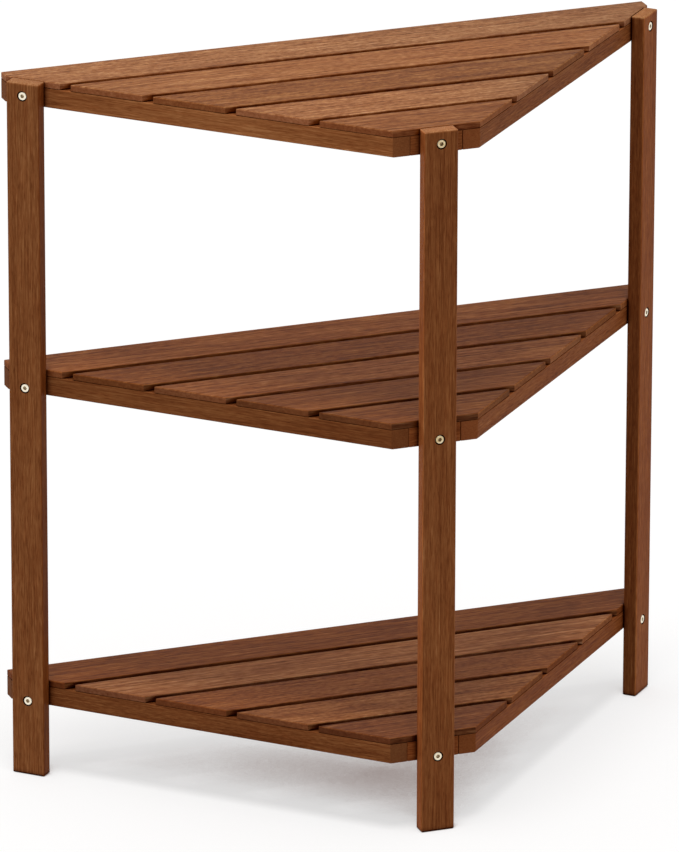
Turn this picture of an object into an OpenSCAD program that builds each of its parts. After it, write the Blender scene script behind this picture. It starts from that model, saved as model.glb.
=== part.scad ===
// Three-tier corner shelf in slatted hardwood.
// The long open side faces -Y and the right-angled corner points to +Y.
// The origin is on the floor, at the centre of the overall width and depth.

/* [Posts] */
// Height of the three posts
post_h = 750; // [650:1:900]
// Wide side of a post
post_w = 36; // [30:0.5:46]
// Thin side of a post
post_t = 15; // [13:0.5:22]
// Rounding of a post's long edges
post_edge_r = 2; // [1:0.25:4]
// Rounding around a post's two ends
post_end_r = 2.5; // [0.5:0.25:3]
// Bare rail between a side post and the blunted tip of the shelf
post_end_gap = 7.5; // [2:0.5:16]

/* [Shelves] */
// Top surface of the middle shelf above the floor
middle_shelf_top = 441.5; // [380:0.5:480]
// Top surface of the bottom shelf above the floor
bottom_shelf_top = 102; // [60:0.5:160]
// Width of the cut-off corner that carries the back post
corner_w = 93; // [80:1:130]
// Length of the flat that blunts each sharp tip of a shelf
tip_cut = 14.5; // [8:0.5:18]

/* [Slats] */
// Width of a slat
slat_w = 57.5; // [52:0.5:70]
// Open gap between two slats
slat_gap = 7.5; // [5:0.5:12]
// Thickness of a slat
slat_t = 7; // [6:0.25:12]
// Rounding of a slat's edges
slat_edge_r = 1.25; // [0.5:0.25:2]
// Amount by which the sharp end of a shorter slat is blunted
slat_tip_blunt = 1.5; // [0.5:0.25:4]

/* [Frame] */
// Height of the side rails, the corner block and the batten
rail_h = 20.5; // [18:0.5:30]
// Thickness of a side rail
rail_t = 13.5; // [12.5:0.5:20]
// Rounding of the long edges of rails and battens
rail_edge_r = 1; // [0.5:0.25:2]
// Depth of the corner block, from its front to its back face
block_d = 30; // [26:1:40]
// Width of the eased edges on both sides of the joint between a rail and the corner block
joint_ease = 1; // [0.25:0.25:2]
// Thickness of the centre batten
batten_t = 13.5; // [12:0.5:24]
// Set-back of the centre batten behind the long edge
batten_setback = 12; // [4:1:20]

/* [Fasteners] */
// Shank of a post bolt
bolt_d = 6; // [5:0.5:6.5]
// Diameter of a bolt's socket head
bolt_head_d = 9; // [8.5:0.5:10.5]
// Height of a bolt's head
bolt_head_h = 6; // [4:0.5:7]
// Width across the flats of the hexagon socket
hex_af = 4; // [3:0.5:6]
// Depth of the hexagon socket
hex_depth = 3.5; // [2:0.5:4]
// Depth of the head's face below the face of the post
head_recess = 0.4; // [0:0.1:1]
// Length of bolt that enters the rail or the block
bolt_reach = 11; // [8:0.5:11]
// Depth of the top bolts below the underside of their slats
top_bolt_drop = 7; // [5.5:0.1:12]
// Depth of the middle bolts below the underside of their slats
middle_bolt_drop = 10.8; // [6:0.1:12]
// Depth of the bottom bolts below the underside of their slats
bottom_bolt_drop = 13.5; // [6:0.1:15]
// Outer diameter of a threaded insert
insert_d = 8; // [7.5:0.25:9]
// Diameter of a frame dowel
dowel_d = 6; // [5:0.5:8]
// Length of a dowel inside the rail
dowel_in_rail = 9; // [6:0.5:10]
// Length of a dowel inside the corner block
dowel_in_block = 12; // [8:0.5:14]
// Length of a dowel inside the centre batten
dowel_in_batten = 12; // [8:0.5:20]
// Shank of a slat screw
screw_d = 3; // [2.5:0.25:3.5]
// Diameter of a slat screw's head
screw_head_d = 6; // [5:0.25:7]
// Height of a slat screw's head
screw_head_h = 2; // [1.5:0.25:3]
// Depth of a slat screw's tip inside the slat
screw_bite = 5; // [3:0.25:5.5]
// Depth of the screw head's hole in the underside of the frame
screw_sink = 5.5; // [3:0.25:8]
// Distance along the rail from a post bolt to the screw of the longest slat
screw_offset = 22; // [18:0.5:26]
// Distance of a corner block's screw from the middle of the shelf
block_screw_x = 18; // [12:0.5:24]

/* [Clearances] */
// Gap around a bolt's shank and a slat screw's shank in their holes
shank_clear = 0.2; // [0.05:0.05:0.5]
// Gap around a bolt's head in its counterbore
bolt_head_clear = 1; // [0.2:0.1:1.5]
// Gap around a slat screw's head in its hole
head_clear = 0.7; // [0.2:0.1:1]
// Gap around a dowel and an insert in their holes
push_clear = 0.02; // [0:0.01:0.1]
// Empty depth behind the end of a dowel, a bolt and a screw
end_clear = 0.5; // [0.2:0.1:1]

/* [Hidden] */
$fn = 48;
slat_count = 5;
root2 = sqrt(2);
shelf_d = slat_count*slat_w + (slat_count - 1)*slat_gap;
front_y = -(shelf_d + post_t)/2;
corner_y = front_y + shelf_d;
corner_x = corner_w/2;
tip_x = corner_x + shelf_d - tip_cut;
rail_cut = rail_t*root2;
block_x = corner_x - rail_cut;
joint_in = joint_ease/root2;
dowel_y = corner_y - block_d/2;
side_len = (tip_x - corner_x)*root2;
post_mid = side_len - post_end_gap - post_w/2;
tip_screw_y = corner_y - (post_mid + screw_offset)/root2;
under_slat = slat_t + rail_h;
seat_t = post_t - bolt_head_h - head_recess;
insert_l = bolt_reach + end_clear;
far = 4*shelf_d;
past = 1;

// Each tier is its shelf's top surface and the height of its bolts.
TOP = [post_h, post_h - slat_t - top_bolt_drop];
MIDDLE = [middle_shelf_top, middle_shelf_top - slat_t - middle_bolt_drop];
BOTTOM = [bottom_shelf_top, bottom_shelf_top - slat_t - bottom_bolt_drop];
TIERS = [TOP, MIDDLE, BOTTOM];

wood_slat = "#a8714a";
wood_post = "#7a4526";
wood_frame = "#6f3f24";
wood_dowel = "#d8b98a";
zinc_yellow = "#e6d3a8";
steel = "#9a9a9a";

// Height of the middle of the frame under a shelf.
function frame_mid(tier) = tier[0] - slat_t - rail_h/2;
// Front edge of slat k, counted from the long side.
function slat_y(k) = front_y + (k - 1)*(slat_w + slat_gap);
// Half-width of a shelf's plan at depth y.
function half_x(y) = min(tip_x, corner_x + corner_y - y);
// Middle line of slat k.
function slat_mid(k) = slat_y(k) + slat_w/2;
// Depth of slat k's screw in a rail, where the longest slat's stands clear of the post bolt.
function screw_y(k) = k == 1 ? tip_screw_y : slat_mid(k);
// Half-width of a shelf's frame at depth y, to the middle of a rail.
function rail_x(y) = corner_x + corner_y - y - rail_cut/2;

// Flat rectangle with round corners, from the origin.
module round_rect(w, h, r) {
    translate([r, 0]) square([w - 2*r, h]);
    translate([0, r]) square([w, h - 2*r]);
    for (x = [r, w - r])
        for (y = [r, h - r])
            translate([x, y]) circle(r);
}

// Stands a shape on the right rail's outer face: X along the rail, Y outward.
module on_right_side() {
    translate([corner_x, corner_y, 0])
        rotate([0, 0, -45])
            children();
}

// The same place on the left or on the right.
module on_side(side) {
    if (side > 0) on_right_side() children();
    else mirror([1, 0, 0]) on_right_side() children();
}

// Repeats a shape at the three posts, where the face at y = 0 is the posts' inner face.
module at_each_post() {
    for (side = [-1, 1])
        on_side(side) translate([post_mid, 0, 0]) children();
    translate([0, corner_y, 0]) children();
}

// Wooden post with eased edges, standing on its place with its back at y = 0.
module post_body() {
    intersection() {
        translate([-post_w/2, 0, 0])
            linear_extrude(post_h) round_rect(post_w, post_t, post_edge_r);
        translate([-post_w/2, post_t + past, 0])
            rotate([90, 0, 0])
                linear_extrude(post_t + 2*past) round_rect(post_w, post_h, post_end_r);
        translate([-post_w/2 - past, 0, 0])
            rotate([90, 0, 90])
                linear_extrude(post_w + 2*past) round_rect(post_t, post_h, post_end_r);
    }
}

// Post with the stepped holes of its three bolts.
module post() {
    difference() {
        post_body();
        for (tier = TIERS)
            translate([0, 0, tier[1]]) rotate([-90, 0, 0]) {
                translate([0, 0, -past])
                    cylinder(d = bolt_d + 2*shank_clear, h = post_t + 2*past);
                translate([0, 0, seat_t])
                    cylinder(d = bolt_head_d + 2*bolt_head_clear, h = post_t);
            }
    }
}

module left_post() {
    color(wood_post) on_side(-1) translate([post_mid, 0, 0]) post();
}

module right_post() {
    color(wood_post) on_side(1) translate([post_mid, 0, 0]) post();
}

module back_post() {
    color(wood_post) translate([0, corner_y, 0]) post();
}

// Wide plate with an eased edge along the outer line of one side rail.
module side_plate(side) {
    on_side(side)
        translate([-far/2, -far, 0])
            rotate([90, 0, 90]) linear_extrude(far) round_rect(far, slat_t, slat_edge_r);
}

// Plate with the outline of a whole shelf and eased ends, which the slats are cut from.
module shelf_blank() {
    intersection() {
        side_plate(1);
        side_plate(-1);
        translate([-tip_x, far/2, 0])
            rotate([90, 0, 0]) linear_extrude(far) round_rect(2*tip_x, slat_t, slat_edge_r);
    }
}

// Slat k of a shelf, with its mitred ends and screw holes.
module slat(tier, k) {
    blunt_x = half_x(slat_y(k)) - slat_tip_blunt;
    color(wood_slat) difference() {
        translate([0, 0, tier[0] - slat_t]) intersection() {
            shelf_blank();
            translate([-far/2, slat_y(k), 0])
                rotate([90, 0, 90]) linear_extrude(far) round_rect(slat_w, slat_t, slat_edge_r);
            if (k > 1)
                translate([-blunt_x, -far/2, -past]) cube([2*blunt_x, far, slat_t + 2*past]);
        }
        screw_holes(tier);
    }
}

// Right rail of a shelf, cut off by the shelf's outline, with its insert, dowel and screw holes.
module right_rail(tier) {
    difference() {
        translate([0, 0, tier[0] - under_slat]) intersection() {
            translate([-tip_x, front_y, 0]) cube([2*tip_x, shelf_d, rail_h]);
            on_right_side()
                translate([-far/2, -rail_t, 0])
                    rotate([90, 0, 90]) linear_extrude(far) round_rect(rail_t, rail_h, rail_edge_r);
        }
        translate([0, 0, tier[0] - under_slat]) rail_joint_ease();
        on_right_side() translate([post_mid, 0, 0]) insert_hole(tier);
        side_dowel(tier, dowel_d + 2*push_clear, end_clear);
        screw_holes(tier);
    }
}

// Wedge that eases the right rail's sharp edge beside the corner block.
module rail_joint_ease() {
    translate([0, 0, -past]) linear_extrude(rail_h + 2*past) polygon([
        [block_x + joint_ease, corner_y],
        [block_x + joint_ease, corner_y + past],
        [block_x - 2*past, corner_y + past],
        [block_x + joint_in, corner_y - joint_in]
    ]);
}

module side_rail(tier, side) {
    color(wood_frame)
        if (side > 0) right_rail(tier);
        else mirror([1, 0, 0]) right_rail(tier);
}

// Wedge-shaped block between the two rails, with the back post on its face.
module corner_block(tier) {
    inner_x = block_x + block_d;
    color(wood_frame) difference() {
        translate([0, 0, tier[0] - under_slat])
            linear_extrude(rail_h) polygon([
                [-block_x - joint_in, corner_y - joint_in],
                [-block_x + joint_ease, corner_y],
                [block_x - joint_ease, corner_y],
                [block_x + joint_in, corner_y - joint_in],
                [inner_x, corner_y - block_d],
                [-inner_x, corner_y - block_d]
            ]);
        translate([0, corner_y, 0]) insert_hole(tier);
        for (side = [0, 1])
            mirror([side, 0, 0]) side_dowel(tier, dowel_d + 2*push_clear, end_clear);
        batten_dowel(tier, dowel_d + 2*push_clear, end_clear);
        screw_holes(tier);
    }
}

// Batten under the middle of the slats, from the corner block to the long side.
module centre_batten(tier) {
    batten_l = shelf_d - block_d - batten_setback;
    color(wood_frame) difference() {
        translate([-batten_t/2, corner_y - block_d, tier[0] - under_slat])
            rotate([90, 0, 0]) linear_extrude(batten_l) round_rect(batten_t, rail_h, rail_edge_r);
        batten_dowel(tier, dowel_d + 2*push_clear, end_clear);
        screw_holes(tier);
    }
}

// Dowel across the joint of the right rail and the corner block.
module side_dowel(tier, d, spare) {
    translate([block_x + corner_y - dowel_y, dowel_y, frame_mid(tier)])
        rotate([0, 0, -45]) rotate([-90, 0, 0])
            translate([0, 0, -dowel_in_block - spare])
                cylinder(d = d, h = dowel_in_block + dowel_in_rail + 2*spare);
}

// Dowel across the joint of the batten and the corner block.
module batten_dowel(tier, d, spare) {
    translate([0, corner_y - block_d, frame_mid(tier)])
        rotate([-90, 0, 0])
            translate([0, 0, -dowel_in_batten - spare])
                cylinder(d = d, h = dowel_in_batten + dowel_in_block + 2*spare);
}

// Hole for a threaded insert, sunk into the face at y = 0.
module insert_hole(tier) {
    translate([0, past, tier[1]]) rotate([90, 0, 0])
        cylinder(d = insert_d + 2*push_clear, h = insert_l + past + end_clear);
}

// Calls its children at each slat screw: rails, corner block and batten.
module at_each_screw() {
    for (side = [0, 1], k = [1 : slat_count])
        mirror([side, 0, 0]) translate([rail_x(screw_y(k)), screw_y(k), 0]) children();
    for (x = [-block_screw_x, block_screw_x])
        translate([x, dowel_y, 0]) children();
    for (k = [1 : slat_count - 1])
        translate([0, slat_mid(k), 0]) children();
}

// Holes for the slat screws, from the underside of the frame up into the slats.
module screw_holes(tier) {
    at_each_screw() translate([0, 0, tier[0] - under_slat]) {
        translate([0, 0, -past])
            cylinder(d = screw_head_d + 2*head_clear, h = screw_sink + past);
        cylinder(d = screw_d + 2*shank_clear, h = rail_h);
        cylinder(d = screw_d + 2*push_clear, h = rail_h + screw_bite + end_clear);
    }
}

// Hexagon socket bolt with its head towards +Y and its seat at y = seat_t.
module bolt() {
    edge = 0.5;
    rotate([-90, 0, 0]) difference() {
        union() {
            translate([0, 0, -bolt_reach]) {
                cylinder(d1 = bolt_d - 2*edge, d2 = bolt_d, h = edge);
                translate([0, 0, edge]) cylinder(d = bolt_d, h = bolt_reach + seat_t - edge);
            }
            translate([0, 0, seat_t]) {
                cylinder(d = bolt_head_d, h = bolt_head_h - edge);
                translate([0, 0, bolt_head_h - edge])
                    cylinder(d1 = bolt_head_d, d2 = bolt_head_d - 2*edge, h = edge);
            }
        }
        translate([0, 0, seat_t + bolt_head_h - hex_depth])
            cylinder(d = hex_af/cos(30), h = hex_depth + past, $fn = 6);
    }
}

module post_bolts() {
    color(zinc_yellow)
        for (tier = TIERS)
            translate([0, 0, tier[1]]) at_each_post() bolt();
}

// Threaded sleeve with grooves around it, flush with the face at y = 0.
module insert_body() {
    groove = 0.5;
    rotate([90, 0, 0]) difference() {
        cylinder(d = insert_d, h = insert_l);
        translate([0, 0, -past]) cylinder(d = bolt_d + 2*push_clear, h = insert_l + 2*past);
        for (share = [0.25, 0.5, 0.75])
            translate([0, 0, share*insert_l]) rotate_extrude()
                translate([insert_d/2 - groove, 0]) square([groove + past, groove]);
    }
}

module bolt_inserts() {
    color(steel) {
        for (tier = TIERS, side = [-1, 1])
            on_side(side) translate([post_mid, 0, tier[1]]) insert_body();
        for (tier = TIERS)
            translate([0, corner_y, tier[1]]) insert_body();
    }
}

module frame_dowels() {
    color(wood_dowel)
        for (tier = TIERS) {
            side_dowel(tier, dowel_d, 0);
            mirror([1, 0, 0]) side_dowel(tier, dowel_d, 0);
            batten_dowel(tier, dowel_d, 0);
        }
}

// Pan-head screw, head down, with its seat at z = 0.
module slat_screw() {
    point = 2;
    point_d = 0.4;
    screw_l = rail_h - screw_sink + screw_bite;
    translate([0, 0, -screw_head_h]) cylinder(d = screw_head_d, h = screw_head_h);
    cylinder(d = screw_d, h = screw_l - point);
    translate([0, 0, screw_l - point]) cylinder(d1 = screw_d, d2 = point_d, h = point);
}

module slat_screws() {
    color(steel)
        for (tier = TIERS)
            translate([0, 0, tier[0] - under_slat + screw_sink]) at_each_screw() slat_screw();
}

left_post();
right_post();
back_post();
slat(TOP, 1);  // top_slat_1
slat(TOP, 2);  // top_slat_2
slat(TOP, 3);  // top_slat_3
slat(TOP, 4);  // top_slat_4
slat(TOP, 5);  // top_slat_5
side_rail(TOP, -1);  // top_left_rail
side_rail(TOP, 1);  // top_right_rail
corner_block(TOP);  // top_corner_block
centre_batten(TOP);  // top_centre_batten
slat(MIDDLE, 1);  // middle_slat_1
slat(MIDDLE, 2);  // middle_slat_2
slat(MIDDLE, 3);  // middle_slat_3
slat(MIDDLE, 4);  // middle_slat_4
slat(MIDDLE, 5);  // middle_slat_5
side_rail(MIDDLE, -1);  // middle_left_rail
side_rail(MIDDLE, 1);  // middle_right_rail
corner_block(MIDDLE);  // middle_corner_block
centre_batten(MIDDLE);  // middle_centre_batten
slat(BOTTOM, 1);  // bottom_slat_1
slat(BOTTOM, 2);  // bottom_slat_2
slat(BOTTOM, 3);  // bottom_slat_3
slat(BOTTOM, 4);  // bottom_slat_4
slat(BOTTOM, 5);  // bottom_slat_5
side_rail(BOTTOM, -1);  // bottom_left_rail
side_rail(BOTTOM, 1);  // bottom_right_rail
corner_block(BOTTOM);  // bottom_corner_block
centre_batten(BOTTOM);  // bottom_centre_batten
post_bolts();
bolt_inserts();
frame_dowels();
slat_screws();
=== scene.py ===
# Corner shelf in oiled reddish-brown hardwood: finishes, floor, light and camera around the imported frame.
# Everything is in metres. +Z is up, -Y is the long open side and +Y the corner with the back post.
import math
import random

import bpy
from mathutils import Matrix, Vector


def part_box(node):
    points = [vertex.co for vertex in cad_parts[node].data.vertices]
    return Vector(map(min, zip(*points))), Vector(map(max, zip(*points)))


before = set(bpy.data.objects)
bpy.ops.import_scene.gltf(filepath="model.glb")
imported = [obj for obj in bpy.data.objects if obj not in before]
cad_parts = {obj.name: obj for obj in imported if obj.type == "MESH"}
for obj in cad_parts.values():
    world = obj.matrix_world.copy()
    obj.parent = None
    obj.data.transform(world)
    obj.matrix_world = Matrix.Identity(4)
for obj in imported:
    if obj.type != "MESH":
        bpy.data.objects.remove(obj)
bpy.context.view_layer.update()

MM = 0.001
TIERS = ("top", "middle", "bottom")
SLATS_PER_TIER = 5

# Directions in which boards run or face. The rails run from the back corner to the side posts.
UP = Vector((0.0, 0.0, 1.0))
ALONG_X = Vector((1.0, 0.0, 0.0))
BACK_OUT = Vector((0.0, 1.0, 0.0))
LEFT_ALONG = Vector((-1.0, -1.0, 0.0)).normalized()
LEFT_OUT = Vector((-1.0, 1.0, 0.0)).normalized()
RIGHT_ALONG = Vector((1.0, -1.0, 0.0)).normalized()
RIGHT_OUT = Vector((1.0, 1.0, 0.0)).normalized()

# Wood colours as linear red, green and blue, and their places between a dark grain line and a pale fibre.
DEEP_BROWN = (0.095, 0.024, 0.005)
WARM_BROWN = (0.205, 0.062, 0.016)
MID_BROWN = (0.300, 0.106, 0.033)
TAN = (0.405, 0.165, 0.057)
PALE_FIBRE = (0.545, 0.265, 0.115)
WOOD_SCALE = ((0.00, DEEP_BROWN), (0.30, WARM_BROWN), (0.52, MID_BROWN), (0.74, TAN), (1.00, PALE_FIBRE))
WOOD_MIDDLE = 0.53
RAW_BIRCH = (0.560, 0.400, 0.230)

# The layers of a board's grain: cells per metre along, across and through it, and how strongly they show.
SLAT_GRAIN = (
    ("ribbons", (1.6, 95.0, 40.0), 0.28),
    ("clouds", (5.0, 26.0, 26.0), 0.22),
    ("dashes", (90.0, 420.0, 420.0), 0.95),
    ("streaks", (14.0, 300.0, 300.0), 0.95),
    ("fibres", (9.0, 520.0, 520.0), 0.90),
)
STICK_GRAIN = (
    ("ribbons", (1.6, 95.0, 40.0), 0.26),
    ("clouds", (5.0, 26.0, 26.0), 0.22),
    ("dashes", (110.0, 900.0, 900.0), 0.60),
    ("streaks", (30.0, 560.0, 560.0), 0.55),
    ("fibres", (9.0, 760.0, 760.0), 0.60),
)
SLAT_BANDS = 0.32
STICK_BANDS = 0.22
# Dashes and streaks are longer on some boards than on others, by a factor between these.
STREAK_LENGTHS = (0.45, 1.5)
# Each layer of each board reads its noise at a random place, up to this many cells from the noise's origin.
NOISE_PLACES = 40.0
NOISE_ROUGHNESS = 0.55

# Growth bands: how far below and beside the board the pith lies, how it leans in radians, and how its
# bands wander to and fro.
PITH_BELOW = (0.05, 0.11)
PITH_ASIDE = (-0.035, 0.035)
PITH_LEAN_Y = (-0.045, 0.045)
PITH_LEAN_Z = (-0.030, 0.030)
BANDS_PER_METRE = (170.0, 260.0)
WANDERS_PER_METRE = 9.0
WANDER = 0.016

# Pale flecks, dark pores and redder patches: cells per metre, the noise at which they start and are full,
# and how strongly they show.
FLECKS = (42.0, 900.0, 900.0)
FLECK_LEVELS = (0.58, 0.72)
FLECK_GAIN = 0.20
PORES = (95.0, 2300.0, 2300.0)
PORE_LEVELS = (0.58, 0.70)
PORE_LOSS = 0.26
RED_PATCHES = (42.0, 280.0, 280.0)
RED_LEVELS = (0.46, 0.70)
RED_SHARE = 0.25
RED_STREAK = (1.06, 0.83, 0.70)

# How squarely a face has to look along the board, or across it, to count as a cut end or a narrow face.
CUT_FACE = (0.45, 0.66)
NARROW_FACE = (0.60, 0.85)
# How squarely a face has to look towards +X to change from the look of one end to that of the other.
END_SWITCH = (-0.1, 0.1)
# How far a cut end's grain is evened out: oil soaks deep into most ends, less into the posts'.
CALM_END = 0.6
CALM_POST_END = 0.2
PLAIN_FACE = (1.0, 1.0, 1.0)

# Wear and a painted highlight on eased edges, in patches, kept off edges in recesses.
# The product of squares that finds an edge is 0.25 on its middle line.
EASED_EDGE = (0.03, 0.22)
WEAR_AND_HIGHLIGHT_PATCHES = (30.0, 160.0, 160.0)
WEAR_AND_HIGHLIGHT_LEVELS = (0.35, 0.65)
WEAR_AND_HIGHLIGHT_LEAST = 0.25
WEAR_AND_HIGHLIGHT_OPENNESS = (0.60, 0.90)
WEAR_AND_HIGHLIGHT_GAIN = 0.11

# Painted shade gathers where the space in front of a surface is narrow, in recesses, seams and the gaps
# between slats: how far that is looked at, the openness from which the shade is full to where it ends, and
# what is left of the colour.
RECESS_REACH = 9.0 * MM
RECESS_OPENNESS = (0.34, 0.88)
SHADE_IN_RECESS = (0.20, 0.06, 0.01)
SEAM_REACH = 3.5 * MM
SEAM_OPENNESS = (0.45, 0.85)
SHADE_IN_SEAM = (0.40, 0.27, 0.12)
GAP_OPENNESS = (0.74, 0.92)
GAP_WALL = {"top": (0.90, 0.58, 0.12), "middle": (0.88, 0.62, 0.20), "bottom": (0.36, 0.14, 0.03)}

# Roughness, relief and gloss of oiled wood.
WOOD_ROUGHNESS = 0.44
FIBRE_ROUGHNESS = 0.18
PORE_ROUGHNESS = 0.14
CUT_ROUGHNESS = 0.12
FIBRE_HEIGHT = 0.55
BAND_HEIGHT = 0.20
PORE_DEPTH = 0.50
WOOD_RELIEF = 0.12 * MM
WOOD_RELIEF_STRENGTH = 0.55
OIL_GLOSS = 0.065
GLOSS_OPENNESS = (0.40, 0.90)
OIL_IOR = 1.42

# A board's own tone: how much green a full warmth takes away, how much more of the blue, and the chance
# lean to either side.
WARMTH_SHARE = 0.28
WARMTH_IN_BLUE = 1.8
TONE_CHANCE = 0.02
TONE_SEED = 2207
FIRST_BOARD_SEED = 5100
BOARD_SEED_STEP = 37

# Lightness and warmth of each slat, from the longest to the shortest, and how much more or less blue it
# has than these give it. The lower tiers are painted darker and warmer: a painted shade under the shelf
# above.
SLAT_LIGHTNESS = {
    "top": (1.06, 1.03, 0.785, 1.085, 0.82),
    "middle": (1.01, 0.76, 0.98, 0.735, 0.67),
    "bottom": (0.82, 1.16, 0.86, 0.93, 0.64),
}
SLAT_WARMTH = {
    "top": (-0.45, -0.05, 0.20, -0.35, 0.20),
    "middle": (0.65, 0.75, 0.42, 0.62, 0.58),
    "bottom": (0.75, 0.00, 0.55, 0.34, 0.65),
}
SLAT_BLUE = {
    "top": (1.08, 1.00, 0.90, 1.06, 0.97),
    "middle": (0.92, 0.84, 0.97, 0.91, 0.91),
    "bottom": (0.88, 1.06, 0.92, 0.96, 1.00),
}
# How much lighter or darker a slat's long edges are than its top, and its mitred ends at +X and at -X.
# The long edges are darker as a painted shade, and the two ends differ as painted light and shade by side.
SLAT_EDGE = {"top": (0.74, 0.60, 0.60), "middle": (0.60, 0.65, 0.90), "bottom": (0.68, 0.74, 0.90)}
SLAT_END = {"top": (1.22, 1.17, 1.34), "middle": (1.10, 1.13, 1.38), "bottom": (0.93, 0.87, 1.05)}
SLAT_OTHER_END = {"top": (1.54, 1.66, 2.06), "middle": (1.62, 1.81, 2.17), "bottom": (1.10, 0.98, 0.90)}
# Painted light along each slat: a painted gain towards +X, the side the light comes from, and painted shade
# towards both ends. Some of the loss comes back at the middle, so that the slat as a whole keeps its
# lightness.
SLAT_PAINTED_LIGHT = {
    "top": ((0.18, 0.05), (0.02, 0.09), (0.13, 0.09), (0.16, 0.20), (0.07, 0.00)),
    "middle": ((0.07, 0.34), (0.04, 0.38), (0.06, 0.43), (0.04, 0.43), (0.04, 0.48)),
    "bottom": ((0.05, 0.32), (-0.04, 0.38), (0.05, 0.38), (0.03, 0.42), (0.00, 0.28)),
}
PAINTED_LIGHT_BACK = 0.4

# Lightness and warmth of a rail, and how much lighter or darker its ends are. Both differ by tier and by
# side as painted light and shade.
RAIL_LOOKS = {
    "top_left_rail": (0.91, 0.50, (0.95, 0.92, 0.98)),
    "top_right_rail": (1.15, 0.15, (0.70, 0.68, 0.70)),
    "middle_left_rail": (0.95, 0.55, (0.92, 0.92, 1.05)),
    "middle_right_rail": (0.75, 0.45, (0.88, 0.88, 0.92)),
    "bottom_left_rail": (0.84, 0.80, (0.88, 0.95, 1.10)),
    "bottom_right_rail": (0.76, 0.45, (0.86, 0.94, 1.10)),
}
# The same for a post, with its narrow faces before its ends. The posts' lightness differs partly as painted
# light by the side they face, the back post's narrow faces are painted lighter by light from +X, and the
# ends are painted lighter as light on the posts' tops.
POST_LOOKS = {
    "left_post": (1.06, 0.75, (0.57, 0.57, 0.57), (1.14, 1.65, 2.40)),
    "right_post": (0.94, 0.15, (0.76, 0.58, 0.38), (1.31, 1.62, 2.13)),
    "back_post": (0.81, 0.45, (1.62, 1.50, 1.40), (1.60, 2.05, 2.85)),
}
POST_FACES = {"left_post": LEFT_OUT, "right_post": RIGHT_OUT, "back_post": BACK_OUT}
# Lightness and warmth of corner blocks and battens.
BLOCK_LOOK = (0.82, 0.75)

# Metals: colour, roughness and how much grime and painted shade their recesses hold.
YELLOW_ZINC = (0.970, 0.890, 0.710)
YELLOW_ZINC_ROUGHNESS = 0.24
YELLOW_ZINC_GRIME_AND_SHADE = 0.45
PLAIN_ZINC = (0.620, 0.620, 0.610)
PLAIN_ZINC_ROUGHNESS = 0.30
PLAIN_ZINC_GRIME_AND_SHADE = 0.6
SOCKET_GRIME_AND_SHADE = (0.300, 0.190, 0.100)
SOCKET_REACH = 6.0 * MM
SOCKET_OPENNESS = (0.15, 0.50)
DULL_PLATING = 0.92
PLATING_PATCHES_PER_METRE = 420.0
PLATING_LEVELS = (0.35, 0.65)
PLATING_ROUGHNESS = 0.18
GRIME_ROUGHNESS = 0.30
GRIME_COVER = 0.5
SCRATCHES_PER_METRE = 2600.0
SCRATCH_RELIEF = 0.02 * MM
SCRATCH_STRENGTH = 0.4
# The back post's bolts are painted darker and browner, a painted dim reflection: near the middle plane, and
# more so the higher they sit.
DIM_REFLECTION_BRASS = (0.560, 0.420, 0.210)
DIM_REFLECTION_FROM_MIDDLE = (0.04, 0.12)
DIM_REFLECTION_HEIGHT = (0.10, 0.40)
DIM_REFLECTION_LOW_DOWN = 0.35
DIM_REFLECTION_LEVELS = (0.30, 0.62)
DIM_REFLECTION_PATCHES = (0.55, 0.95)

# Birch of the dowels, with its grain upright.
BIRCH_GRAIN = (300.0, 300.0, 900.0)
BIRCH_PLACE = (3.0, 1.0, 4.0)
BIRCH_DETAIL = 3.0
BIRCH_FINENESS = 0.6
BIRCH_LEVELS = (0.35, 0.65)
BIRCH_DARK = 0.72
BIRCH_RELIEF = 0.08 * MM
BIRCH_RELIEF_STRENGTH = 0.5
BIRCH_ROUGHNESS = 0.62

# Floor. It glows to near white where it lies open, and hardly where the shelf stands close over it, which
# paints a shadow there, tinted red as painted light thrown back from the wood. Its openness is measured
# around a direction that leans towards +X and +Y.
FLOOR_PAINT = (0.43, 0.425, 0.422)
FLOOR_GLOW = (0.60, 0.60, 0.60)
FLOOR_GLOW_UNDER_SHELF = (0.085, 0.018, 0.000)
FLOOR_OPENNESS = (0.28, 0.475)
FLOOR_REACH = 0.17
FLOOR_LEAN = (0.45, 0.20, 1.0)
FLOOR_SAMPLES = 16
FLOOR_BOUNCE = (0.43, 0.42, 0.41)
FLOOR_HALF = 24.0

# Light.
SKY_STRENGTH = 0.54
SUN_STRENGTH = 1.45
SUN_SPREAD_DEGREES = 20.0
SUN_DIRECTION = (0.07, 0.10, 1.0)

# Camera, as fitted to the photograph's corners.
CAMERA_PLACE = (3.3224, 8.7593, 3.7629)
CAMERA_YAW = 0.35797
CAMERA_PITCH = 0.34634
CAMERA_ROLL = 0.00222
CAMERA_LENS_MM = 412.4
CAMERA_SENSOR_MM = 36.0
CAMERA_REACH = 100.0


# Small helpers for node trees

def new_material(name):
    """An empty material."""
    material = bpy.data.materials.new(name)
    material.use_nodes = True
    material.node_tree.nodes.clear()
    return material


def fill(socket, value):
    """Links a socket to another one, or sets its value."""
    if isinstance(value, bpy.types.NodeSocket):
        socket.id_data.links.new(value, socket)
    elif hasattr(value, "__len__") and len(value) == 3 and socket.type == "RGBA":
        socket.default_value = (*value, 1.0)
    else:
        socket.default_value = value


def add(tree, kind, inputs=None, **settings):
    """Adds a node, applies its settings and fills its inputs by name or number."""
    node = tree.nodes.new(kind)
    for key, value in settings.items():
        setattr(node, key, value)
    for key, value in (inputs or {}).items():
        fill(node.inputs[key], value)
    return node


def finish_surface(tree, shader):
    add(tree, "ShaderNodeOutputMaterial", {"Surface": shader.outputs[0]})


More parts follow.
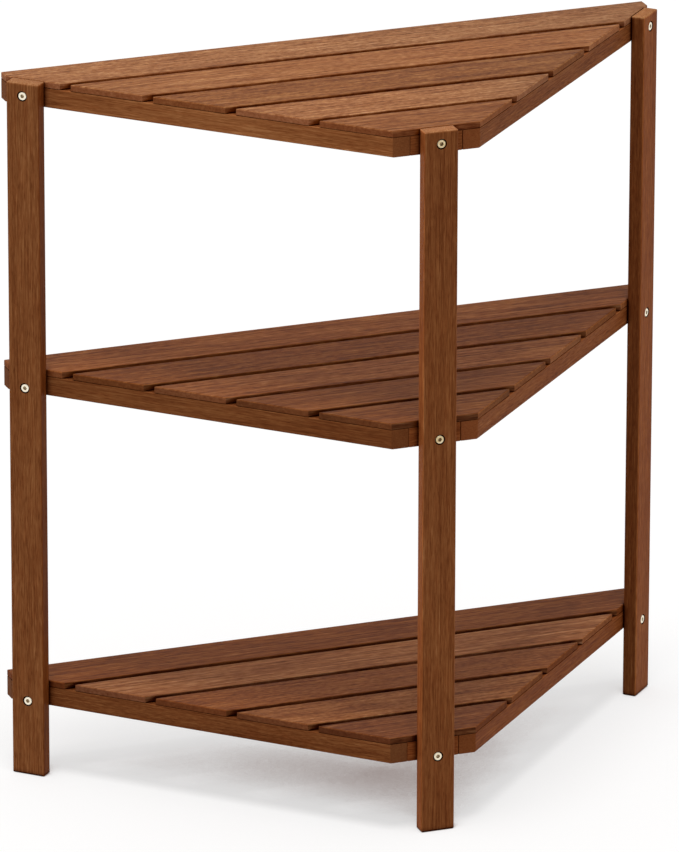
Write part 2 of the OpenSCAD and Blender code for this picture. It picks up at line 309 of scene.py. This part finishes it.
def math_node(tree, operation, a, b=0.0, c=0.0, clamp=False):
    node = add(tree, "ShaderNodeMath", {0: a, 1: b, 2: c}, operation=operation)
    node.use_clamp = clamp
    return node.outputs[0]


def dot(tree, a, b):
    return add(tree, "ShaderNodeVectorMath", {0: a, 1: b}, operation="DOT_PRODUCT").outputs["Value"]


def span(tree, value, low, high, out_low=0.0, out_high=1.0, smooth=False):
    """Maps value from low..high to out_low..out_high, held at both ends."""
    kind = "SMOOTHSTEP" if smooth else "LINEAR"
    inputs = {"Value": value, "From Min": low, "From Max": high, "To Min": out_low, "To Max": out_high}
    return add(tree, "ShaderNodeMapRange", inputs, interpolation_type=kind).outputs[0]


def mix_colour(tree, factor, a, b, blend="MIX"):
    node = add(tree, "ShaderNodeMix", data_type="RGBA", blend_type=blend)
    fill(node.inputs[0], factor)
    fill(node.inputs[6], a)
    fill(node.inputs[7], b)
    return node.outputs[2]


def tint(tree, factor, colour, multiplier):
    """Multiplies a colour by another one as far as factor says."""
    return mix_colour(tree, factor, colour, multiplier, "MULTIPLY")


def openness(tree, reach):
    """How open the space within reach of a surface is, from 0 to 1."""
    return add(tree, "ShaderNodeAmbientOcclusion", {"Distance": reach}, samples=8).outputs["AO"]


def even_noise(tree, vector, per_metre, detail=2.0):
    """Noise with the same number of features per metre in every direction."""
    inputs = {"Vector": vector, "Scale": per_metre, "Detail": detail}
    return add(tree, "ShaderNodeTexNoise", inputs).outputs[0]


def stretched_noise(tree, vector, stretch, shift, detail, roughness):
    """Noise whose features per metre are given along, across and through the board."""
    place = add(tree, "ShaderNodeMapping", {"Vector": vector, "Location": shift, "Scale": stretch})
    inputs = {"Vector": place.outputs[0], "Scale": 1.0, "Detail": detail, "Roughness": roughness}
    return add(tree, "ShaderNodeTexNoise", inputs).outputs[0]


# Wood grain

def place_on_board(tree, place, along, across, wide, centre):
    """Where a point lies on a board: X along it, Y across it and Z through it, from its centre."""
    turn = Matrix((along, across, wide))
    inputs = {"Vector": place, "Rotation": turn.to_euler("XYZ"), "Location": -(turn @ centre)}
    return add(tree, "ShaderNodeMapping", inputs).outputs[0]


def noise_layer(tree, board, rng, stretch, detail=2.0):
    """Stretched noise, read at a place that is drawn anew for each layer."""
    shift = tuple(rng.uniform(-NOISE_PLACES, NOISE_PLACES) for _ in range(3))
    return stretched_noise(tree, board, stretch, shift, detail, NOISE_ROUGHNESS)


def growth_bands(tree, board, rng):
    """Irregular growth bands around a pith line that lies outside the board and leans a little."""
    below = rng.uniform(*PITH_BELOW)
    aside = rng.uniform(*PITH_ASIDE)
    lean = (0.0, rng.uniform(*PITH_LEAN_Y), rng.uniform(*PITH_LEAN_Z))
    to_pith = {"Vector": board, "Location": (0.0, aside, below), "Rotation": lean}
    pith = add(tree, "ShaderNodeMapping", to_pith)
    wander = even_noise(tree, board, WANDERS_PER_METRE)
    flat = add(tree, "ShaderNodeVectorMath", {0: pith.outputs[0], 1: (0.0, 1.0, 1.0)}, operation="MULTIPLY")
    radius = add(tree, "ShaderNodeVectorMath", {0: flat.outputs[0]}, operation="LENGTH").outputs["Value"]
    shaken = math_node(tree, "MULTIPLY_ADD", wander, WANDER, radius)
    per_metre = rng.uniform(*BANDS_PER_METRE)
    inputs = {"W": shaken, "Scale": per_metre, "Detail": 2.0, "Roughness": NOISE_ROUGHNESS}
    return add(tree, "ShaderNodeTexNoise", inputs, noise_dimensions="1D").outputs[0]


def grain_layers(tree, board, rng, look):
    """A board's growth bands and noises by name, and how strongly each of them shows."""
    length_of_streaks = rng.uniform(*STREAK_LENGTHS)
    layers = {"bands": growth_bands(tree, board, rng)}
    strength = {"bands": look["bands"]}
    for kind, stretch, share in look["grain"]:
        if kind in ("dashes", "streaks"):
            stretch = (stretch[0] / length_of_streaks, *stretch[1:])
        detail = 3.0 if kind == "fibres" else 2.0
        layers[kind] = noise_layer(tree, board, rng, stretch, detail)
        strength[kind] = share
    return layers, strength


def grain_value(tree, layers, strength, flecks, pores):
    """The place between a dark grain line, 0, and a pale fibre, 1, from all layers together."""
    value = WOOD_MIDDLE - 0.5 * sum(strength.values())
    for kind, noise in layers.items():
        value = math_node(tree, "MULTIPLY_ADD", noise, strength[kind], value)
    value = math_node(tree, "MULTIPLY_ADD", flecks, FLECK_GAIN, value)
    return math_node(tree, "MULTIPLY_ADD", pores, -PORE_LOSS, value)


def evened_out(tree, value, share):
    """Draws the grain towards the middle of the wood's colours."""
    return math_node(tree, "MULTIPLY_ADD", share, math_node(tree, "SUBTRACT", WOOD_MIDDLE, value), value)


def wood_colours(tree, value, tone):
    """The wood's colour for a value from 0, a dark grain line, to 1, a pale fibre."""
    ramp = add(tree, "ShaderNodeValToRGB", {0: value})
    steps = ramp.color_ramp.elements
    while len(steps) < len(WOOD_SCALE):
        steps.new(0.5)
    for step, (place, colour) in zip(steps, WOOD_SCALE):
        step.position = place
        step.color = (*(c * t for c, t in zip(colour, tone)), 1.0)
    return ramp.outputs[0]


# Faces, wear with painted highlights, and painted shade

def face_share(tree, normal, direction, low, high):
    """How squarely a surface faces along a direction or against it, from 0 to 1."""
    facing = math_node(tree, "ABSOLUTE", dot(tree, normal, direction))
    return span(tree, facing, low, high, smooth=True)


def eased_edge(tree, normal, axis):
    """One on the rounded edge between a face square to the axis and a face along it, zero on both."""
    lift = dot(tree, normal, axis)
    square = math_node(tree, "MULTIPLY", lift, lift)
    rest = math_node(tree, "SUBTRACT", 1.0, square)
    product = math_node(tree, "MULTIPLY", square, rest)
    return span(tree, product, *EASED_EDGE, smooth=True)


def worn_and_highlit_edges(tree, board, rng, normal, nearby, axes):
    """How much paler the wood is on its eased edges: wear together with a painted highlight."""
    worn_and_lit = eased_edge(tree, normal, axes[0])
    for axis in axes[1:]:
        worn_and_lit = math_node(tree, "MAXIMUM", worn_and_lit, eased_edge(tree, normal, axis))
    patches = span(tree, noise_layer(tree, board, rng, WEAR_AND_HIGHLIGHT_PATCHES), *WEAR_AND_HIGHLIGHT_LEVELS, WEAR_AND_HIGHLIGHT_LEAST, 1.0)
    worn_and_lit = math_node(tree, "MULTIPLY", worn_and_lit, patches)
    return math_node(tree, "MULTIPLY", worn_and_lit, span(tree, nearby, *WEAR_AND_HIGHLIGHT_OPENNESS, 0.0, WEAR_AND_HIGHLIGHT_GAIN))


def painted_light_along(tree, board, colour, half_length, gain, loss):
    """Painted light along a board: lighter towards +X, with painted shade towards both ends."""
    along = add(tree, "ShaderNodeSeparateXYZ", {0: board}).outputs["X"]
    place = math_node(tree, "DIVIDE", along, half_length)
    slope = math_node(tree, "MULTIPLY_ADD", place, gain, 1.0 + PAINTED_LIGHT_BACK * loss)
    lightness = math_node(tree, "MULTIPLY_ADD", math_node(tree, "MULTIPLY", place, place), -loss, slope)
    return add(tree, "ShaderNodeVectorMath", {0: colour, "Scale": lightness}, operation="SCALE").outputs[0]


def end_multiplier(tree, normal, along, look):
    """What a cut end multiplies the colour by. The two ends of a slat differ as painted light and shade."""
    if "other_end" not in look:
        return look["end"]
    at_plus_x = span(tree, dot(tree, normal, along), *END_SWITCH)
    return mix_colour(tree, at_plus_x, look["other_end"], look["end"])


def painted_shade(tree, colour, nearby, narrow, look):
    """Painted shade: darkens the walls of the gaps between slats, recesses, and the seams between boards.
    """
    if "gap_wall" in look:
        inside_gap = math_node(tree, "MULTIPLY", narrow, span(tree, nearby, *GAP_OPENNESS, 1.0, 0.0))
        colour = tint(tree, inside_gap, colour, look["gap_wall"])
    colour = tint(tree, span(tree, nearby, *RECESS_OPENNESS, 1.0, 0.0), colour, SHADE_IN_RECESS)
    seam = span(tree, openness(tree, SEAM_REACH), *SEAM_OPENNESS, 1.0, 0.0)
    return tint(tree, seam, colour, SHADE_IN_SEAM)


# Wood

def wood_shader(tree, colour, layers, pores, cut, nearby):
    """An oiled surface with the fibres' relief, rougher on cut ends and without gloss in recesses."""
    roughness = math_node(tree, "MULTIPLY_ADD", layers["fibres"], FIBRE_ROUGHNESS, WOOD_ROUGHNESS)
    roughness = math_node(tree, "MULTIPLY_ADD", pores, PORE_ROUGHNESS, roughness)
    roughness = math_node(tree, "MULTIPLY_ADD", cut, CUT_ROUGHNESS, roughness, clamp=True)
    height = math_node(tree, "MULTIPLY", layers["fibres"], FIBRE_HEIGHT)
    height = math_node(tree, "MULTIPLY_ADD", layers["bands"], BAND_HEIGHT, height)
    height = math_node(tree, "MULTIPLY_ADD", pores, -PORE_DEPTH, height)
    relief = {"Height": height, "Distance": WOOD_RELIEF, "Strength": WOOD_RELIEF_STRENGTH}
    bump = add(tree, "ShaderNodeBump", relief)
    gloss = span(tree, nearby, *GLOSS_OPENNESS, 0.0, OIL_GLOSS)
    return add(tree, "ShaderNodeBsdfPrincipled", {"Base Color": colour, "Roughness": roughness,
                                                  "Normal": bump.outputs[0], "IOR": OIL_IOR,
                                                  "Specular IOR Level": gloss})


def wood_material(name, along, wide, centre, seed, look):
    """Oiled hardwood cut as one board, with its own growth bands, dashes, fibres, flecks and pores."""
    rng = random.Random(seed)
    material = new_material(name)
    tree = material.node_tree
    across = wide.cross(along)
    coordinates = add(tree, "ShaderNodeTexCoord")
    board = place_on_board(tree, coordinates.outputs["Object"], along, across, wide, centre)
    normal = coordinates.outputs["Normal"]
    nearby = openness(tree, RECESS_REACH)
    cut = face_share(tree, normal, along, *CUT_FACE)
    narrow = face_share(tree, normal, across, *NARROW_FACE)

    layers, strength = grain_layers(tree, board, rng, look)
    flecks = span(tree, noise_layer(tree, board, rng, FLECKS), *FLECK_LEVELS)
    pores = span(tree, noise_layer(tree, board, rng, PORES, detail=1.0), *PORE_LEVELS)
    value = grain_value(tree, layers, strength, flecks, pores)
    value = evened_out(tree, value, math_node(tree, "MULTIPLY", cut, look["calm"]))
    # Edge wear together with a painted highlight on the eased edges.
    wear_and_highlight = worn_and_highlit_edges(tree, board, rng, normal, nearby, look["edge_axes"])
    value = math_node(tree, "ADD", value, wear_and_highlight)

    colour = wood_colours(tree, value, look["tone"])
    redness = span(tree, noise_layer(tree, board, rng, RED_PATCHES), *RED_LEVELS, 0.0, RED_SHARE)
    colour = tint(tree, redness, colour, RED_STREAK)
    # Painted light and shade along the slat.
    if "painted_light" in look:
        colour = painted_light_along(tree, board, colour, *look["painted_light"])
    colour = tint(tree, narrow, colour, look["narrow"])
    colour = tint(tree, cut, colour, end_multiplier(tree, normal, along, look))
    # Painted shade in the gaps between slats, in recesses and in seams.
    colour = painted_shade(tree, colour, nearby, narrow, look)
    finish_surface(tree, wood_shader(tree, colour, layers, pores, cut, nearby))
    return material


# Boards

def centre_of(node):
    low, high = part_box(node)
    return (Vector(low) + Vector(high)) / 2


def half_length_of(slat):
    low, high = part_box(slat)
    return (high[0] - low[0]) / 2


def dress(node, material):
    """Gives every material slot of a CAD node the new material."""
    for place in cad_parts[node].material_slots:
        place.material = material


def board_tone(rng, lightness, warmth, blue=1.0):
    """A board's own colour. Warmth takes green and blue away, and chance adds a slight lean."""
    lean = WARMTH_SHARE * warmth + rng.uniform(-TONE_CHANCE, TONE_CHANCE)
    return (lightness, lightness * (1.0 - lean), lightness * (1.0 - WARMTH_IN_BLUE * lean) * blue)


def slat_look(rng, tier, place):
    """The look of one slat. Place 0 is the longest slat of its tier."""
    tone = board_tone(rng, SLAT_LIGHTNESS[tier][place], SLAT_WARMTH[tier][place], SLAT_BLUE[tier][place])
    half_length = half_length_of(f"{tier}_slat_{place + 1}")
    return {"grain": SLAT_GRAIN, "bands": SLAT_BANDS, "tone": tone, "narrow": SLAT_EDGE[tier],
            "end": SLAT_END[tier], "other_end": SLAT_OTHER_END[tier], "gap_wall": GAP_WALL[tier],
            "painted_light": (half_length, *SLAT_PAINTED_LIGHT[tier][place]), "edge_axes": (UP,), "calm": CALM_END}


def stick_look(rng, lightness, warmth, narrow=PLAIN_FACE, end=PLAIN_FACE, edge_axes=(UP,), calm=CALM_END):
    """The look of a post, rail, block or batten."""
    return {"grain": STICK_GRAIN, "bands": STICK_BANDS, "tone": board_tone(rng, lightness, warmth),
            "narrow": narrow, "end": end, "edge_axes": edge_axes, "calm": calm}


def all_boards(rng):
    """Every board's node, the direction that it runs in, where its wide face looks, and its look."""
    for post, wide in POST_FACES.items():
        yield post, UP, wide, stick_look(rng, *POST_LOOKS[post], edge_axes=(wide, UP), calm=CALM_POST_END)
    for tier in TIERS:
        for place in range(SLATS_PER_TIER):
            yield f"{tier}_slat_{place + 1}", ALONG_X, UP, slat_look(rng, tier, place)
        for side, along, wide in (("left", LEFT_ALONG, LEFT_OUT), ("right", RIGHT_ALONG, RIGHT_OUT)):
            rail = f"{tier}_{side}_rail"
            lightness, warmth, end = RAIL_LOOKS[rail]
            yield rail, along, wide, stick_look(rng, lightness, warmth, end=end)
        yield f"{tier}_corner_block", ALONG_X, BACK_OUT, stick_look(rng, *BLOCK_LOOK)
        yield f"{tier}_centre_batten", BACK_OUT, UP, stick_look(rng, *BLOCK_LOOK)


def dress_boards():
    """Each board is a piece of wood of its own, with the grain along its length."""
    rng = random.Random(TONE_SEED)
    for place, (node, along, wide, look) in enumerate(all_boards(rng)):
        seed = FIRST_BOARD_SEED + BOARD_SEED_STEP * place
        dress(node, wood_material(f"{node}_wood", along, wide, centre_of(node), seed, look))


# Fasteners

def dim_reflection_share(tree, place, cloud):
    """How far the painted dim reflection covers the plating, in patches."""
    where = add(tree, "ShaderNodeSeparateXYZ", {0: place}).outputs
    near_middle = span(tree, math_node(tree, "ABSOLUTE", where["X"]), *DIM_REFLECTION_FROM_MIDDLE, 1.0, 0.0)
    higher_up = span(tree, where["Z"], *DIM_REFLECTION_HEIGHT, DIM_REFLECTION_LOW_DOWN, 1.0)
    patches = span(tree, cloud, *DIM_REFLECTION_LEVELS, *DIM_REFLECTION_PATCHES)
    return math_node(tree, "MULTIPLY", math_node(tree, "MULTIPLY", near_middle, patches), higher_up)


def metal_material(name, colour, roughness, grime_and_shade, dim_reflection=None):
    """Plated metal with fine scratches, uneven plating, and soiling with painted shade in its recesses."""
    material = new_material(name)
    tree = material.node_tree
    place = add(tree, "ShaderNodeTexCoord").outputs["Object"]
    cloud = even_noise(tree, place, PLATING_PATCHES_PER_METRE, detail=3.0)
    scratch = even_noise(tree, place, SCRATCHES_PER_METRE)
    # Grime together with painted shade in the sockets and recesses.
    grime_and_shade_mask = span(tree, openness(tree, SOCKET_REACH), *SOCKET_OPENNESS, 1.0, 0.0)
    dull = tuple(DULL_PLATING * c for c in colour)
    base = mix_colour(tree, span(tree, cloud, *PLATING_LEVELS), colour, dull)
    if dim_reflection:
        # A painted dim reflection on the back post's bolts.
        base = mix_colour(tree, dim_reflection_share(tree, place, cloud), base, dim_reflection)
    base = mix_colour(tree, math_node(tree, "MULTIPLY", grime_and_shade_mask, grime_and_shade), base, SOCKET_GRIME_AND_SHADE)
    rough = math_node(tree, "MULTIPLY_ADD", cloud, PLATING_ROUGHNESS, roughness)
    rough = math_node(tree, "MULTIPLY_ADD", grime_and_shade_mask, GRIME_ROUGHNESS, rough, clamp=True)
    relief = {"Height": scratch, "Distance": SCRATCH_RELIEF, "Strength": SCRATCH_STRENGTH}
    bump = add(tree, "ShaderNodeBump", relief)
    metal = math_node(tree, "SUBTRACT", 1.0, math_node(tree, "MULTIPLY", grime_and_shade_mask, GRIME_COVER * grime_and_shade))
    shader = add(tree, "ShaderNodeBsdfPrincipled", {"Base Color": base, "Roughness": rough,
                                                    "Metallic": metal, "Normal": bump.outputs[0]})
    finish_surface(tree, shader)
    return material


def dowel_material():
    """Unstained birch, as a dowel has it."""
    material = new_material("dowel_birch")
    tree = material.node_tree
    place = add(tree, "ShaderNodeTexCoord").outputs["Object"]
    grain = stretched_noise(tree, place, BIRCH_GRAIN, BIRCH_PLACE, BIRCH_DETAIL, BIRCH_FINENESS)
    dark = tuple(BIRCH_DARK * c for c in RAW_BIRCH)
    base = mix_colour(tree, span(tree, grain, *BIRCH_LEVELS), RAW_BIRCH, dark)
    relief = {"Height": grain, "Distance": BIRCH_RELIEF, "Strength": BIRCH_RELIEF_STRENGTH}
    bump = add(tree, "ShaderNodeBump", relief)
    shader = add(tree, "ShaderNodeBsdfPrincipled", {"Base Color": base, "Roughness": BIRCH_ROUGHNESS,
                                                    "Normal": bump.outputs[0]})
    finish_surface(tree, shader)
    return material


def dress_fasteners():
    yellow = metal_material("yellow_zinc", YELLOW_ZINC, YELLOW_ZINC_ROUGHNESS, YELLOW_ZINC_GRIME_AND_SHADE, DIM_REFLECTION_BRASS)
    plain = metal_material("plain_zinc", PLAIN_ZINC, PLAIN_ZINC_ROUGHNESS, PLAIN_ZINC_GRIME_AND_SHADE)
    dress("post_bolts", yellow)
    dress("bolt_inserts", plain)
    dress("slat_screws", plain)
    dress("frame_dowels", dowel_material())


# Floor, light and camera

def seen_directly(tree):
    """One for what the camera, reflections and clear pieces see, zero for the light that a surface gets."""
    rays = add(tree, "ShaderNodeLightPath").outputs
    seen = math_node(tree, "MAXIMUM", rays["Is Camera Ray"], rays["Is Glossy Ray"])
    return math_node(tree, "MAXIMUM", seen, rays["Is Transmission Ray"])


def floor_material():
    """Pale paint seen near white, with a painted shadow under the shelf beside its own, throwing little
    light back.
    """
    material = new_material("pale_floor")
    tree = material.node_tree
    lean = tuple(Vector(FLOOR_LEAN).normalized())
    towards = add(tree, "ShaderNodeVectorMath", {0: lean}).outputs[0]
    reach = {"Distance": FLOOR_REACH, "Normal": towards}
    nearby = add(tree, "ShaderNodeAmbientOcclusion", reach, samples=FLOOR_SAMPLES).outputs["AO"]
    is_open = span(tree, nearby, *FLOOR_OPENNESS)
    # A painted shadow, tinted red, where the shelf stands close over the floor.
    colour = mix_colour(tree, is_open, FLOOR_GLOW_UNDER_SHELF, FLOOR_GLOW)
    glow = add(tree, "ShaderNodeEmission", {"Color": colour, "Strength": 1.0})
    paint = add(tree, "ShaderNodeBsdfDiffuse", {"Color": FLOOR_PAINT})
    seen = add(tree, "ShaderNodeAddShader", {0: paint.outputs[0], 1: glow.outputs[0]})
    bounce = add(tree, "ShaderNodeBsdfDiffuse", {"Color": FLOOR_BOUNCE})
    inputs = {0: seen_directly(tree), 1: bounce.outputs[0], 2: seen.outputs[0]}
    finish_surface(tree, add(tree, "ShaderNodeMixShader", inputs))
    return material


def lay_floor():
    corners = [(-FLOOR_HALF, -FLOOR_HALF, 0.0), (FLOOR_HALF, -FLOOR_HALF, 0.0),
               (FLOOR_HALF, FLOOR_HALF, 0.0), (-FLOOR_HALF, FLOOR_HALF, 0.0)]
    mesh = bpy.data.meshes.new("floor")
    mesh.from_pydata(corners, [], [(0, 1, 2, 3)])
    mesh.materials.append(floor_material())
    floor = bpy.data.objects.new("floor", mesh)
    bpy.context.scene.collection.objects.link(floor)


def light_sky():
    """An even white studio dome. What the camera and reflections see of it is plain white."""
    world = bpy.data.worlds.new("studio")
    world.use_nodes = True
    bpy.context.scene.world = world
    tree = world.node_tree
    tree.nodes.clear()
    strength = span(tree, seen_directly(tree), 0.0, 1.0, SKY_STRENGTH, 1.0)
    sky = add(tree, "ShaderNodeBackground", {"Color": (1.0, 1.0, 1.0), "Strength": strength})
    add(tree, "ShaderNodeOutputWorld", {"Surface": sky.outputs[0]})


def light_sun():
    """A broad lamp far away, so that the floor is lit alike everywhere."""
    lamp = bpy.data.lights.new("key_sun", "SUN")
    lamp.energy = SUN_STRENGTH
    lamp.angle = math.radians(SUN_SPREAD_DEGREES)
    sun = bpy.data.objects.new("key_sun", lamp)
    sun.rotation_euler = Vector(SUN_DIRECTION).to_track_quat("Z", "Y").to_euler()
    bpy.context.scene.collection.objects.link(sun)


def camera_turn():
    """The camera's axes in the world: its right, its up and against its line of sight."""
    side = Vector((-math.cos(CAMERA_YAW), math.sin(CAMERA_YAW), 0.0))
    level = math.cos(CAMERA_PITCH)
    ahead = Vector((-math.sin(CAMERA_YAW) * level, -math.cos(CAMERA_YAW) * level, -math.sin(CAMERA_PITCH)))
    above = side.cross(ahead)
    right = math.cos(CAMERA_ROLL) * side + math.sin(CAMERA_ROLL) * above
    up = math.cos(CAMERA_ROLL) * above - math.sin(CAMERA_ROLL) * side
    return Matrix((right, up, -ahead)).transposed()


def place_camera():
    data = bpy.data.cameras.new("camera")
    data.lens = CAMERA_LENS_MM
    data.sensor_width = CAMERA_SENSOR_MM
    data.clip_end = CAMERA_REACH
    camera = bpy.data.objects.new("camera", data)
    camera.matrix_world = Matrix.Translation(CAMERA_PLACE) @ camera_turn().to_4x4()
    bpy.context.scene.collection.objects.link(camera)
    bpy.context.scene.camera = camera


place_camera()
light_sky()
light_sun()
lay_floor()
dress_boards()
dress_fasteners()
bpy.context.scene.view_settings.view_transform = "Standard"
